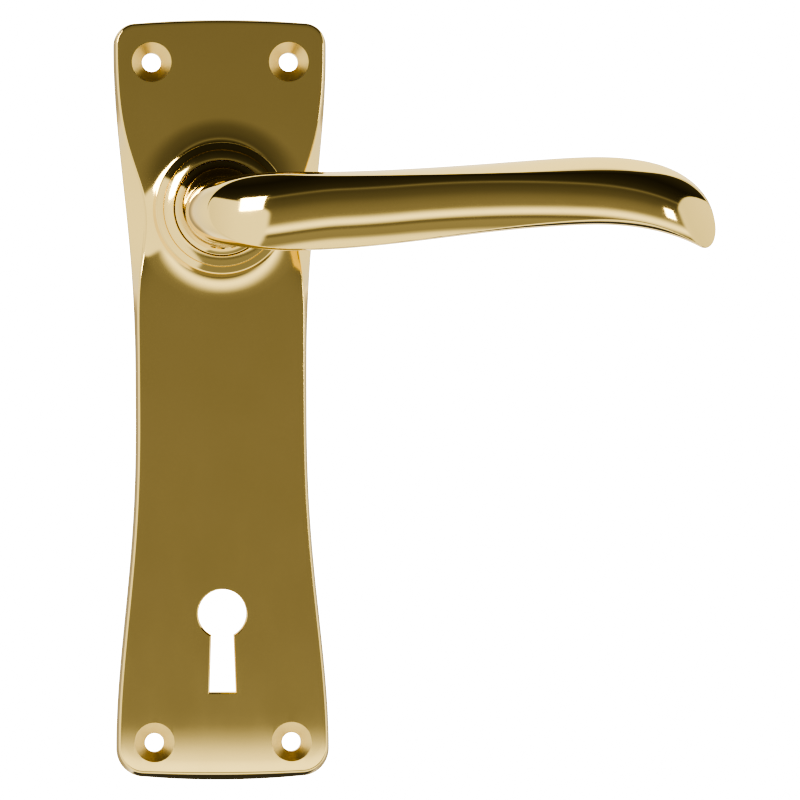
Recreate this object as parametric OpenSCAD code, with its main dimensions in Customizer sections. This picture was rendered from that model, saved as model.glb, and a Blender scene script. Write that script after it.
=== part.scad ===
// Sprung door lever handle on a waisted lock backplate: one side of a pair, in solid brass.
//
// Every piece is drawn in door axes: x runs along the lever, y runs up and z comes out of the
// door. The back of the plate is z = 0 and the spindle turns about the z axis. stand() then
// turns the whole handle so that up is z and the door lies towards +y.

/* [Show] */
// Which piece to draw

/* [Backplate] */
// Height of the backplate
plate_h = 150; // [148:1:154]
// Width across its ends
plate_w = 42; // [41:0.5:44]
// Width at the waist, half way up
waist_w = 33.8; // [33:0.2:36]
// Depth from the door to the flat front
plate_t = 5.5; // [5.3:0.1:6]
// From the top edge down to the spindle axis
axis_drop = 37.5; // [37:0.5:39]
// Radius of the two top corners
head_corner_r = 4.4; // [3.6:0.2:5]
// Radius of the two bottom corners
foot_corner_r = 5.5; // [4.5:0.5:6]
// Thickness of the hollow casting
wall = 2.5; // [2.2:0.1:2.8]

/* [Screw holes] */
// Spacing across
screw_span_x = 27; // [26:0.5:28]
// Spacing up and down
screw_span_z = 134; // [132:1:135]
// Height of the pattern's centre above the spindle axis
screw_mid_z = -38; // [-39:0.5:-37]
// Clearance hole
screw_hole_d = 3.7; // [3.5:0.1:4.2]
// Countersink across its mouth
screw_sink_d = 7.8; // [7.4:0.2:8.4]

/* [Keyhole] */
// Spindle axis down to the round part
key_drop = 79.6; // [78:0.2:81]
// Diameter of the round part
key_d = 9.5; // [9.2:0.1:10.4]
// Distance from the round part's centre to the foot of the slot
key_leg = 15.5; // [15:0.1:16.5]
// Slot width at the round part
key_top_w = 4.4; // [4.2:0.1:5]
// Slot width at the foot
key_foot_w = 5.2; // [5:0.1:6]

/* [Boss] */
// Height of the boss above the door
boss_h = 13.5; // [13.4:0.1:14]
// Radius where the boss leaves the flare
boss_r = 13.4; // [13.2:0.1:13.6]
// Radius where the flare meets the flat front
flare_r = 18.2; // [17.4:0.2:18.6]
// Radius of the turned ring let into the boss
ring_r = 11.4; // [11.2:0.1:11.6]

/* [Lever] */
// Axis to the far end of the grip
lever_reach = 94; // [90:0.5:96]
// Height of the lever's front above the door
lever_front = 51.3; // [50:0.1:54]
// Height of the grip near the neck
grip_h = 15.2; // [14:0.2:15.6]
// Turning shank
shank_r = 7.5; // [7.4:0.1:7.6]
// Collar that fills the mouth of the boss
collar_r = 9.25; // [9.05:0.05:9.25]
// Neck where it leaves the collar
neck_r = 8.3; // [8.1:0.1:8.4]

/* [Spindle] */
// Square bar across flats
spindle_w = 8; // [7:1:8]
// How far the bar stands out behind the plate
spindle_out = 75; // [50:5:90]

/* [Hidden] */
$fn = 72;
far = 200;
over = 1; // how far a cutter runs past the face it cuts
mid_y = axis_drop - plate_h / 2;
crown = 0.7;
waist_power = 1.5;
straight_v = plate_h / 2 - crown - foot_corner_r;
side_draft = 0.5;
head_draft = 0.35;
foot_draft = 1.3;
corner_share = 0.7;
min_corner_r = 0.5;
edge_soft = 0.4;
boss_draft = 3.2;
draft_reach = 12;
foot_h = 1.8;
ring_steps = [4, 5, 28];
pillar_r = 7;
pad_r = 16.5;

flare_rise = 0.25;
fillet_rise = 0.03;
fillet_power = 7;
boss_lean = 0.4;
boss_round = 0.45;
front_slope = 0.167;
chamber_r = 12.6;
chamber_h = 6.6;
bore_r = 9.4;
ring_seat_h = boss_h - 2.5;
bush_top = ring_seat_h + 0.8;
collar_h = [bush_top + 0.8, boss_h + 0.55];
collar_round = 0.25;
run_gap = 0.05;
ring_gap = 0.1;

pin_ring_r = 11.5;
pin_r = 0.9;
pin_foot = 0.8;
pin_top = 8.4;
rest_angle = 180;
travel = 50;
lug_w = 3.2;
stop_gap = 0.3;
stop_step = asin((lug_w / 2 + pin_r + stop_gap) / pin_ring_r);
anchor_angle = 300;

wire_r = 0.6;
wire_sides = 10;
leg_gap = 0.1;
coil_r = 8.8;
coil_front = 5.85;
coil_back = 3.9;
leg_r = 12.2;
leg_step = asin((lug_w / 2 + wire_r + leg_gap) / pin_ring_r);
anchor_step = asin((pin_r + wire_r + leg_gap) / pin_ring_r);

driver_h = [1.8, 3];
driver_r = 9.8;
lug_top = 4.7;
flat_x = 6.6;
flat_gap = 0.1;
clip_h = [0.45, 1.15];
groove_r = 6.95;
washer_h = [1.3, 1.65];
shank_foot = 0.1;
socket_top = 31;
socket_gap = 0.1;
grub_h = 22;
grub_r = 2.5;

brass = [0.86, 0.70, 0.36];
steel = [0.62, 0.63, 0.65];
nylon = [0.90, 0.89, 0.84];

function mix(a, b, t) = a + (b - a) * t;
function polar(r, a) = [r * cos(a), r * sin(a)];
function limit(t) = min(1, max(0, t));
function ease(t) = limit(t) * limit(t) * (3 - 2 * limit(t));
function ease_over(x, span) = ease((x - span[0]) / (span[1] - span[0]));

// Turns a piece from door axes to the handle's own frame.
module stand() {
    rotate([90, 0, 0]) children();
}

// A ring of revolution about the spindle axis between two heights.
module tube(outer, inner, h) {
    difference() {
        translate([0, 0, h[0]]) cylinder(r = outer, h = h[1] - h[0]);
        translate([0, 0, h[0] - over]) cylinder(r = inner, h = h[1] - h[0] + 2 * over);
    }
}

// Joins a stack of rings, each a list of points in the same order, into one closed solid.
module loft(rings) {
    n = len(rings[0]);
    last = len(rings) - 1;
    walls = [for (j = [0:last - 1], i = [0:n - 1], half = [0, 1])
        let (a = j * n + i, b = j * n + (i + 1) % n)
        half == 0 ? [a, a + n, b + n] : [a, b + n, b]];
    foot = [for (i = [1:n - 2]) [0, i, i + 1]];
    head = [for (i = [1:n - 2]) [last * n, last * n + i + 1, last * n + i]];
    polyhedron([for (r = rings, p = r) p], concat(foot, walls, head));
}

// ---- Backplate outline ----

function side_half(v) = waist_w / 2
    + (plate_w - waist_w) / 2 * pow(ease(abs(v) / straight_v), waist_power);
function draft_at(v) = side_draft + boss_draft * exp(-pow((v + mid_y) / draft_reach, 2));

// Where one rounded corner of the outline has its centre, and its radius: [x, v, r].
function corner_at(corner_r, draft, lean, margin) =
    let (inset = lean * side_draft + margin, r = max(corner_r - inset, min_corner_r))
    [plate_w / 2 - inset - r, plate_h / 2 - crown - lean * draft * corner_share - margin - r, r];

// Half of one end of the outline, from its middle to the side, at v above the plate's middle.
function end_half(corner, draft, lean) =
    concat(
        [for (i = [0:ring_steps[0] - 1])
            let (f = i / ring_steps[0], at_middle = crown - lean * draft * (1 - corner_share))
            [f * corner[0], corner[1] + corner[2] + at_middle * (1 - f * f)]],
        [for (i = [0:ring_steps[1] - 1])
            [corner[0], corner[1]] + polar(corner[2], 90 - 90 * i / ring_steps[1])]);

// Half of the outline from bottom centre to top centre, drawn in by lean x the local draft
// and by a further even margin.
function right_half(lean, margin) =
    let (foot = corner_at(foot_corner_r, foot_draft, lean, margin),
        head = corner_at(head_corner_r, head_draft, lean, margin),
        head_half = end_half(head, head_draft, lean), n = len(head_half))
    concat(
        [for (p = end_half(foot, foot_draft, lean)) [p[0], -p[1]]],
        [for (i = [0:ring_steps[2]])
            let (v = mix(-foot[1], head[1], i / ring_steps[2]))
            [side_half(v) - lean * draft_at(v) - margin, v]],
        [for (i = [1:n]) head_half[n - i]]);

function plate_ring(h, lean, margin) =
    let (half = right_half(lean, margin), n = len(half))
    concat([for (p = half) [p[0], p[1] + mid_y, h]],
        [for (i = [n - 2:-1:1]) [-half[i][0], half[i][1] + mid_y, h]]);

// Everything between two heights above the door.
module slab(low, high) {
    translate([-far, -far, low]) cube([2 * far, 2 * far, high - low]);
}

// The plate without its boss: the walls lean in above the foot, and the front edge is softened.
module plate_skin() {
    soft_lean = 0.9;
    soft_in = edge_soft / 2;
    intersection() {
        loft([plate_ring(-over, 0, 0), plate_ring(foot_h, 0, 0),
            plate_ring(plate_t - edge_soft, soft_lean, 0), plate_ring(plate_t, 1, soft_in),
            plate_ring(plate_t + over, 1, soft_in + over)]);
        slab(0, plate_t);
    }
}

// Trims the flare just inside the front edge, leaning in with the side walls.
module flare_trim() {
    lean_in = edge_soft + 0.8;
    loft([plate_ring(foot_h, 1, edge_soft), plate_ring(plate_t, 1, edge_soft),
        plate_ring(plate_t + lean_in, 1, lean_in), plate_ring(boss_h + over, 1, lean_in + 0.3)]);
}

// Height of the flare at a share u of the way in from its outer edge to the boss.
function flare_h(u) = plate_t + flare_rise * u * u + fillet_rise * pow(u, fillet_power);

// The turned profile: flare, steep side, rounded shoulder and a slightly coned front.
module flare_and_boss() {
    flare_steps = 6;
    flare_dip = 0.1;
    shoulder = [boss_r - boss_lean - boss_round, boss_h - front_slope * (boss_r - ring_r)];
    rotate_extrude() polygon(concat(
        [[0, wall], [flare_r, wall], [flare_r, plate_t - flare_dip]],
        [for (i = [1:flare_steps])
            let (u = i / flare_steps) [mix(flare_r, boss_r, u), flare_h(u)]],
        [for (a = [0:30:90]) [shoulder[0], shoulder[1] - boss_round] + polar(boss_round, a)],
        [[ring_r + ring_gap, boss_h], [0, boss_h]]));
}

module screw_places() {
    for (x = [-0.5, 0.5], y = [-0.5, 0.5])
        translate([x * screw_span_x, y * screw_span_z + screw_mid_z, 0]) children();
}

module keyhole_shape(grow) {
    circle(r = key_d / 2 + grow);
    polygon([[-key_top_w / 2 - grow, 0], [-key_foot_w / 2 - grow, -key_leg - grow],
        [key_foot_w / 2 + grow, -key_leg - grow], [key_top_w / 2 + grow, 0]]);
}

module hollow_back() {
    difference() {
        intersection() {
            loft([plate_ring(-2 * over, 0, wall), plate_ring(0, 0, wall),
                plate_ring(plate_t, 1, wall)]);
            slab(-over, plate_t - wall);
        }
        screw_places() translate([0, 0, -2 * over]) cylinder(r = pillar_r, h = plate_t);
        translate([0, 0, -2 * over]) cylinder(r = pad_r, h = plate_t);
        translate([0, -key_drop, -2 * over]) linear_extrude(plate_t) keyhole_shape(wall);
    }
}

module screw_holes() {
    sink_slope = 0.7;
    sink = sink_slope * (screw_sink_d - screw_hole_d) / 2;
    screw_places() {
        translate([0, 0, -over]) cylinder(d = screw_hole_d, h = plate_t + 2 * over);
        translate([0, 0, plate_t - sink]) cylinder(d1 = screw_hole_d, d2 = screw_sink_d + 2 * over,
            h = sink + sink_slope * over);
    }
}

module backplate() {
    color(brass) stand() difference() {
        union() {
            plate_skin();
            intersection() {
                flare_and_boss();
                flare_trim();
            }
        }
        hollow_back();
        screw_holes();
        translate([0, -key_drop, -over]) linear_extrude(plate_t + 2 * over) keyhole_shape(0);
        translate([0, 0, -over]) cylinder(r = chamber_r, h = chamber_h + over);
        cylinder(r = bore_r, h = boss_h + over);
        translate([0, 0, ring_seat_h]) cylinder(r = ring_r, h = boss_h);
        pin_places() translate([0, 0, chamber_h - over])
            cylinder(r = pin_r, h = pin_top - chamber_h + over);
    }
}

// ---- Pieces fixed in the backplate ----

module pin_places() {
    for (a = [rest_angle + stop_step, rest_angle - travel - stop_step, anchor_angle])
        rotate(a) translate([pin_ring_r, 0, 0]) children();
}

module boss_ring() {
    edge = 0.15;
    top = boss_h + front_slope * (ring_r - bore_r);
    color(brass) stand() rotate_extrude() polygon([[bore_r, ring_seat_h], [ring_r, ring_seat_h],
        [ring_r, boss_h - edge], [ring_r - edge, boss_h], [bore_r + edge, top],
        [bore_r, top - edge]]);
}

module bearing_bush() {
    color(nylon) stand() tube(bore_r, shank_r + run_gap, [chamber_h + 0.2, bush_top]);
}

module dowel(a) {
    rotate(a) translate([pin_ring_r, 0, pin_foot]) cylinder(r = pin_r, h = pin_top - pin_foot);
}

module stop_pins() {
    color(steel) stand() {
        dowel(rest_angle + stop_step);
        dowel(rest_angle - travel - stop_step);
    }
}

module spring_anchor_pin() {
    color(steel) stand() dowel(anchor_angle);
}

// ---- Return spring ----

coil_steps = 44;
coil_start = anchor_angle + anchor_step;
coil_end = rest_angle - leg_step - 360;

function coil_point(f) =
    let (a = mix(coil_start, coil_end, f)) concat(polar(coil_r, a), mix(coil_front, coil_back, f));
function coil_side(f) = concat(polar(1, mix(coil_start, coil_end, f)), 0);
function wire_ring(centre, across) = [for (k = [0:wire_sides - 1])
    let (a = 360 * k / wire_sides) centre + wire_r * (cos(a) * across + sin(a) * [0, 0, 1])];
function leg_across(a) = [sin(a), -cos(a), 0];

module return_spring() {
    start_tip = concat(polar(leg_r, coil_start), coil_front);
    end_tip = concat(polar(leg_r, coil_end), coil_back);
    color(steel) stand() loft(concat(
        [wire_ring(start_tip, leg_across(coil_start))],
        [wire_ring(start_tip * 0.5 + coil_point(0) * 0.5, leg_across(coil_start))],
        [for (i = [0:coil_steps]) wire_ring(coil_point(i / coil_steps),
            (i == 0 ? leg_across(coil_start) + coil_side(0)
                : i == coil_steps ? coil_side(1) - leg_across(coil_end)
                : coil_side(i / coil_steps) * sqrt(2)) / sqrt(2))],
        [wire_ring(end_tip * 0.5 + coil_point(1) * 0.5, -leg_across(coil_end))],
        [wire_ring(end_tip, -leg_across(coil_end))]));
}

// ---- Lever ----

// The neck bends into the grip about this point, given along x and out of the door.
bend = [12, lever_front - 15.3];
bend_inner = 5.2;
bend_power = 2.4;
neck_left = 7.4;
neck_shift = 0.35;
neck_taper = 0.09;
neck_ease = 0.8;
neck_dip = 0.8;
neck_sink = 0.3;
bulb_half = 6.5;
// Values at the neck end and at the far end of the grip.
grip_mids = [-1.5, 2.35];
grip_halves = [grip_h / 2, 6.55];
crest = [5.5, 5.2];
grip_back = [lever_front - crest[0] - bend[1] - bend_inner, 3.9];
body_front = [9.6, 7.4];
face_drop = [-0.4, 3.1];
face_drops = [lever_reach - 60, lever_reach];
bulb_dip = [2.1, 22];
top_power = [2, 1.25];
low_power = 2.9;
grip_rises = [14, lever_reach - 18];
grip_slims = [10, 60];
curl_from = lever_reach - 28.7;
curl_rate = 2.6e-4;
// The top edge turns down over end_length to meet the foot of the end, which rises by foot[1]
// over foot[0].
end_length = 18.2;
end_power = [3.7, 0.36];
foot = [2.9, 5];
foot_power = [2, 0.5];
// The domed face across the front: how fast it curves, and where and how it falls at each end.
face_curve = [46, 30];
face_fall = 2.6e-4;
bulb_fall = [13, 50];
tip_fall = [lever_reach - 16, 40];
tip_half = 0.2;
tip_thin = 0.25;
lever_sides = 36;

function grip_mid(x) = mix(grip_mids[0], grip_mids[1], ease_over(x, grip_rises))
    - curl_rate * pow(max(x - curl_from, 0), 3);
function grip_half(x) = mix(grip_halves[0], grip_halves[1], ease_over(x, grip_slims));
function turned(x, length, power) =
    1 - pow(1 - pow(limit((x - lever_reach + length) / length), power[0]), power[1]);
function grip_top(x) = grip_mid(x) + grip_half(x)
    - (2 * grip_half(x) - foot[1]) * turned(x, end_length, end_power);
function grip_foot(x) = grip_mid(x) - grip_half(x) + foot[1] * turned(x, foot[0], foot_power);
function round_fall(r, past) = r - sqrt(r * r - pow(max(past, 0), 2));
function face_ridge(x) = grip_mid(x) - mix(face_drop[0], face_drop[1], ease_over(x, face_drops))
    - mix(bulb_dip[0], 0, ease(x / bulb_dip[1]));
function face_out(x, up) =
    let (off = up - face_ridge(x), curve = mix(face_curve[0], face_curve[1], ease(x / lever_reach)))
    lever_front - off * off / (2 * curve) - face_fall * pow(off, 4)
        - round_fall(bulb_fall[1], bulb_fall[0] - x) - round_fall(tip_fall[1], x - tip_fall[0]);

// One cross-section, looking along the lever: half height up, back and front depths, its
// corners filled out by the powers, and cut off by the face.
function section(centre, front, half, depths, powers) = [for (k = [0:lever_sides - 1])
    let (a = -360 * k / lever_sides, c = cos(a), s = sin(a),
        power = c <= 0 ? 2 : s < 0 ? powers[1] : powers[0],
        across = pow(1 - pow(abs(s), power), 1 / power),
        p = centre + (c > 0 ? depths[1] : -depths[0]) * across * front + [0, half * s, 0])
    [p[0], p[1], min(p[2], face_out(p[0], p[1]))]];

function neck_section(f) =
    let (t = pow(ease(f), neck_ease), x = neck_shift * t)
    section([x, neck_dip * grip_mids[0] * t, mix(collar_h[1] - neck_sink, bend[1], f)], [-1, 0, 0],
        mix(neck_r, bulb_half, t),
        [mix(neck_r, bend[0] - bend_inner - x, t), mix(neck_r, neck_left + x, t)], [2, 2]);

function bend_section(b) =
    let (d = [-cos(b), 0, sin(b)], t = ease(b / 90),
        mid = mix(bend[0] - neck_shift, lever_front - crest[0] - bend[1], t),
        wall_share = (cos(b) + neck_taper * sin(b)) / (bend[0] + neck_left),
        face_share = sin(b) / (mid + body_front[0]),
        reach = pow(pow(wall_share, bend_power) + pow(face_share, bend_power), -1 / bend_power))
    section([bend[0], mix(neck_dip, 1, t) * grip_mids[0], bend[1]] + d * mid, d,
        mix(bulb_half, grip_half(bend[0]), t), [mid - bend_inner, reach - mid],
        [top_power[0], mix(2, low_power, t)]);

function grip_section(x) =
    let (along = x / lever_reach, slimmed = ease_over(x, grip_rises),
        half = max((grip_top(x) - grip_foot(x)) / 2, tip_half),
        thin = mix(tip_thin, 1, half / grip_half(x)))
    section([x, (grip_top(x) + grip_foot(x)) / 2, lever_front - mix(crest[0], crest[1], along)],
        [0, 0, 1], half,
        thin * [mix(grip_back[0], grip_back[1], along), mix(body_front[0], body_front[1], slimmed)],
        [mix(top_power[0], top_power[1], slimmed), low_power]);

module lever_form() {
    neck_steps = 7;
    bend_steps = 11;
    grip_steps = 14;
    end_steps = 11;
    end_start = lever_reach - end_length;
    loft(concat(
        [for (i = [0:neck_steps - 1]) neck_section(i / neck_steps)],
        [for (i = [0:bend_steps - 1]) bend_section(90 * i / bend_steps)],
        [for (i = [0:grip_steps]) grip_section(mix(bend[0], end_start, i / grip_steps))],
        [for (i = [1:end_steps]) grip_section(end_start + end_length * sin(90 * i / end_steps))]));
}

module shank() {
    intersection() {
        translate([0, 0, shank_foot]) cylinder(r = shank_r, h = collar_h[0]);
        union() {
            translate([-flat_x, -shank_r, 0]) cube([2 * flat_x, 2 * shank_r, collar_h[1]]);
            translate([0, 0, driver_h[1] + flat_gap]) cylinder(r = shank_r + over, h = collar_h[1]);
        }
    }
    edge_h = collar_h[1] - front_slope * (collar_r - neck_r);
    rotate_extrude() polygon([[0, collar_h[0]], [collar_r, collar_h[0]],
        [collar_r, edge_h - collar_round], [collar_r - collar_round, edge_h],
        [neck_r, collar_h[1]], [0, collar_h[1]]]);
}

module square_bar(w, h) {
    translate([-w / 2, -w / 2, h[0]]) cube([w, w, h[1] - h[0]]);
}

module lever() {
    color(brass) stand() difference() {
        union() {
            lever_form();
            shank();
        }
        square_bar(spindle_w + socket_gap, [-over, socket_top]);
        tube(shank_r + over, groove_r, clip_h + [-run_gap, run_gap]);
        translate([0, -spindle_w / 2, grub_h]) rotate([90, 0, 0]) cylinder(r = grub_r, h = 2 * neck_r);
    }
}

// ---- Pieces that turn with the lever ----

module thrust_washer() {
    gap = 0.1;
    color(nylon) stand() tube(collar_r - gap, shank_r + gap + run_gap,
        [bush_top + gap, collar_h[0] - gap]);
}

module driver_plate() {
    lug_in = 10.3;
    lug_root = driver_r - 2;
    hole_x = flat_x + flat_gap;
    color(steel) stand() difference() {
        union() {
            translate([0, 0, driver_h[0]]) cylinder(r = driver_r, h = driver_h[1] - driver_h[0]);
            rotate(rest_angle) translate([lug_root, -lug_w / 2, driver_h[0]])
                cube([leg_r - lug_root, lug_w, driver_h[1] - driver_h[0]]);
            rotate(rest_angle) translate([lug_in, -lug_w / 2, driver_h[0]])
                cube([leg_r - lug_in, lug_w, lug_top - driver_h[0]]);
        }
        intersection() {
            cylinder(r = shank_r + flat_gap, h = driver_h[1] + over);
            translate([-hole_x, -driver_r, 0]) cube([2 * hole_x, 2 * driver_r, driver_h[1] + over]);
        }
    }
}

module wave_washer() {
    wave = 0.07;
    waves = 3;
    steps = 48;
    inner = shank_r + 0.2;
    outer = driver_r - 0.6;
    radii = [inner, outer, outer, inner];
    heights = [washer_h[0], washer_h[0], washer_h[1], washer_h[1]];
    points = [for (i = [0:steps - 1], k = [0:3])
        let (a = 360 * i / steps)
        concat(polar(radii[k], a), heights[k] + wave * cos(waves * a))];
    faces = [for (i = [0:steps - 1], k = [0:3], half = [0, 1])
        let (j = (i + 1) % steps, m = (k + 1) % 4, a = 4 * i + k, b = 4 * j + m)
        half == 0 ? [a, 4 * i + m, b] : [a, b, 4 * j + k]];
    color(steel) stand() polyhedron(points, faces);
}

module circlip() {
    band_w = 1.1;
    ear_angle = 24;
    ear_r = 1.1;
    ear_hole_r = 0.45;
    ear_ring = groove_r + 1.2;
    half_gap = ear_angle - 9;
    color(steel) stand() translate([0, 0, clip_h[0]]) linear_extrude(clip_h[1] - clip_h[0])
        difference() {
            union() {
                circle(r = groove_r + band_w);
                for (a = [-ear_angle, ear_angle])
                    rotate(a - 90) translate([ear_ring, 0]) circle(r = ear_r);
            }
            circle(r = groove_r + run_gap);
            polygon([[0, 0], polar(2 * ear_ring, -90 - half_gap), polar(2 * ear_ring, half_gap - 90)]);
            for (a = [-ear_angle, ear_angle])
                rotate(a - 90) translate([ear_ring, 0]) circle(r = ear_hole_r);
        }
}

module spindle() {
    color(steel) stand() square_bar(spindle_w, [-spindle_out, socket_top - 1]);
}

module grub_screw() {
    length = 3.4;
    key_socket_d = 2.8;
    key_socket_h = 2;
    color(steel) stand() translate([0, -spindle_w / 2, grub_h]) rotate([90, 0, 0]) difference() {
        cylinder(r = grub_r, h = length);
        translate([0, 0, length - key_socket_h])
            cylinder(d = key_socket_d, h = key_socket_h + over, $fn = 6);
    }
}

backplate();
boss_ring();
bearing_bush();
stop_pins();
spring_anchor_pin();
return_spring();
lever();
thrust_washer();
driver_plate();
wave_washer();
circlip();
spindle();
grub_screw();
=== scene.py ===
"""Visual model of a brass lever door handle on a waisted lock backplate.

Shapes are worked out in millimetres in door axes: x along the lever, up, and out of the door.
stand() turns them into the frame's metres, where up is z and the door lies towards +y.
"""
import math
import bpy
import bmesh
import numpy as np
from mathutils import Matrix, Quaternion, Vector


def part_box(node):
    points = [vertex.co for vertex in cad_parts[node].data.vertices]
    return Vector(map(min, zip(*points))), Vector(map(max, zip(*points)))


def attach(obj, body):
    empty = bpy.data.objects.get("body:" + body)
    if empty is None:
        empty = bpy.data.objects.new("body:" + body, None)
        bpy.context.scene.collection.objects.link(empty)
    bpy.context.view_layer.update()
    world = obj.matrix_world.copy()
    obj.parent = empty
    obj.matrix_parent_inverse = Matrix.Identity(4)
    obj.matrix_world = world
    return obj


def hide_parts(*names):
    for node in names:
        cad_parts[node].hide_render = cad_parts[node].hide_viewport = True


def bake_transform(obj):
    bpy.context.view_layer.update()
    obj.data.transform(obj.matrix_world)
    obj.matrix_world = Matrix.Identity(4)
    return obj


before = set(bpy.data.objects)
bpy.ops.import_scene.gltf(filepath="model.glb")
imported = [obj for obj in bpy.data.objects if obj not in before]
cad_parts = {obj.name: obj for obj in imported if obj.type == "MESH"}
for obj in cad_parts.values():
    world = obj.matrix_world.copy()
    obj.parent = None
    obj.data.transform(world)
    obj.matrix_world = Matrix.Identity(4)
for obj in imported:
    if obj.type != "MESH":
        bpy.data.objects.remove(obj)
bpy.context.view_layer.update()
MM = 0.001
OVER = 1.0  # how far a cutter runs past the face it cuts


# ---- Driving dimensions, in millimetres, read from the frame where it holds them ----

def span(node):
    """Lowest and highest corner of a CAD node in door axes: x, up, out."""
    low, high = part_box(node)
    return ((low.x / MM, low.z / MM, -high.y / MM), (high.x / MM, high.z / MM, -low.y / MM))


plate_low, plate_high = span("backplate")
ring_low, ring_high = span("boss_ring")
lever_low, lever_high = span("lever")

PLATE_W = plate_high[0] - plate_low[0]
PLATE_H = plate_high[1] - plate_low[1]
MID_UP = (plate_high[1] + plate_low[1]) / 2
BOSS_H = plate_high[2]
RING_R = ring_high[0]
RING_SEAT = ring_low[2]
LEVER_REACH = lever_high[0]
LEVER_FRONT = lever_high[2]
SHANK_FOOT = lever_low[2]

WAIST_W = 33.8
PLATE_T = 5.5
HEAD_CORNER_R = 4.4
FOOT_CORNER_R = 5.5
CROWN = 0.7
WAIST_POWER = 1.5
FOOT_H = 1.8
SIDE_DRAFT = 0.5
HEAD_DRAFT = 0.35
FOOT_DRAFT = 1.3
CORNER_SHARE = 0.7
MIN_CORNER_R = 0.5
EDGE_SOFT = 0.4
FOOT_SOFT = 0.6
BACK_SOFT = 0.2
BOSS_DRAFT = 3.2
DRAFT_REACH = 12.0
ROLL_OFF = (12.0, 0.3)
SIDE_FALL = {"from": 11.5, "rate": 0.02, "up": -5.0, "reach": 6.0}
WALL = 2.5
HOLLOW_LEAN = 0.6
BOSS_R = 13.4
BOSS_LEAN = 0.4
BOSS_ROUND = 0.45
FRONT_SLOPE = 0.167
FLARE_R = 18.2
FLARE_RISE = 0.25
FILLET_RISE = 0.03
FILLET_POWER = 7
BORE_R = 9.4
CHAMBER_R = 12.6
CHAMBER_H = 6.6
PAD_R = 16.5

SCREW_SPAN = (27.0, 134.0)
SCREW_MID = -38.0
SCREW_HOLE_R = 1.85
SCREW_SINK_R = 3.9
SINK_SLOPE = 0.7
SINK_FACING = (0.3, 0.95)
SINK_LOWER = 0.06
PILLAR_R = 7.0
KEY_DROP = 79.6
KEY_R = 4.75
KEY_LEG = 15.5
KEY_TOP_W = 4.4
KEY_FOOT_W = 5.2
KEY_EDGE = {"width": 0.32, "depth": 0.5, "turn": 75.0, "skew": (-0.12, -0.12)}

SHANK_R = 7.5
COLLAR_R = 9.25
NECK_R = 8.3
COLLAR_H = (BOSS_H - 0.9, BOSS_H + 0.55)
COLLAR_ROUND = 0.25
GROOVE = (0.4, 1.2, 6.95)
FLAT_X = 6.6
FLAT_TOP = 3.1
SOCKET_W = 8.1
SOCKET_TOP = 31.0
GRUB_OUT = 22.0
GRUB_R = 2.5
PIN_RING_R = 11.5
PIN_R = 0.9


# ---- Small helpers ----

def mix(a, b, t):
    return a + (b - a) * t


def ease(t):
    t = np.clip(t, 0, 1)
    return t * t * (3 - 2 * t)


def ease_over(x, span):
    """0 before the span, 1 after it, smooth between."""
    return ease((x - span[0]) / (span[1] - span[0]))


def circle(r, angles):
    return np.stack([r * np.cos(angles), r * np.sin(angles)], -1)


def with_height(points, h):
    """Gives a flat ring its distance out of the door: one value, or one for each point."""
    return np.column_stack([points, np.broadcast_to(h, len(points))])


def stand(points):
    """Door axes in millimetres to the frame's metres."""
    p = np.asarray(points, float)
    return np.stack([p[..., 0], -p[..., 2], p[..., 1]], -1) * MM


def mesh_object(name, verts, faces):
    mesh = bpy.data.meshes.new(name)
    mesh.from_pydata([tuple(v) for v in verts], [], faces)
    mesh.validate()
    obj = bpy.data.objects.new(name, mesh)
    bpy.context.scene.collection.objects.link(obj)
    return obj


def ring_faces(rings, sides, wrap_rings):
    """Quads over a stack of closed rings; wrap_rings joins the last ring to the first."""
    faces = []
    for j in range(rings if wrap_rings else rings - 1):
        a = j * sides
        b = ((j + 1) % rings) * sides
        for i in range(sides):
            k = (i + 1) % sides
            faces.append((a + i, a + k, b + k, b + i))
    return faces


def ring_object(name, rings, wrap_rings=False):
    """A closed solid from an array of rings x sides x 3 points in door axes."""
    count, sides = rings.shape[:2]
    faces = ring_faces(count, sides, wrap_rings)
    if not wrap_rings:
        faces.append(tuple(range(sides))[::-1])
        faces.append(tuple((count - 1) * sides + i for i in range(sides)))
    obj = mesh_object(name, stand(rings).reshape(-1, 3), faces)
    outward(obj)
    return obj


def outward(obj):
    bm = bmesh.new()
    bm.from_mesh(obj.data)
    bmesh.ops.recalc_face_normals(bm, faces=bm.faces)
    bm.to_mesh(obj.data)
    bm.free()


def revolve(name, profile, sides=160):
    """Turns a closed profile of (radius, out) points about the spindle axis."""
    angles = np.linspace(0, 2 * np.pi, sides, endpoint=False)
    rings = np.array([with_height(circle(r, angles), h) for r, h in profile])
    return ring_object(name, rings, wrap_rings=True)


def column(name, centre, low, high, r, sides=64):
    """A round cutter along out, between two heights."""
    ring = circle(r, np.linspace(0, 2 * np.pi, sides, endpoint=False)) + centre
    return prism(name, [(ring, low), (ring, high)])


def prism(name, outlines):
    """A cutter with a polygon outline at each of several heights: [(points, out), ...]."""
    return ring_object(name, np.array([with_height(points, h) for points, h in outlines]))


def cut(obj, cutter):
    """Subtracts one mesh from another and removes the cutter."""
    bool_mod = obj.modifiers.new("cut", "BOOLEAN")
    bool_mod.operation = "DIFFERENCE"
    bool_mod.solver = "EXACT"
    bool_mod.object = cutter
    bake_modifiers(obj)
    bpy.data.objects.remove(cutter)


def bake_modifiers(obj):
    dg = bpy.context.evaluated_depsgraph_get()
    dg.update()
    mesh = bpy.data.meshes.new_from_object(obj.evaluated_get(dg))
    obj.modifiers.clear()
    old = obj.data
    obj.data = mesh
    bpy.data.meshes.remove(old)


def smooth(obj, degrees=32):
    obj.data.shade_smooth()
    obj.data.set_sharp_from_angle(angle=math.radians(degrees))


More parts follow.
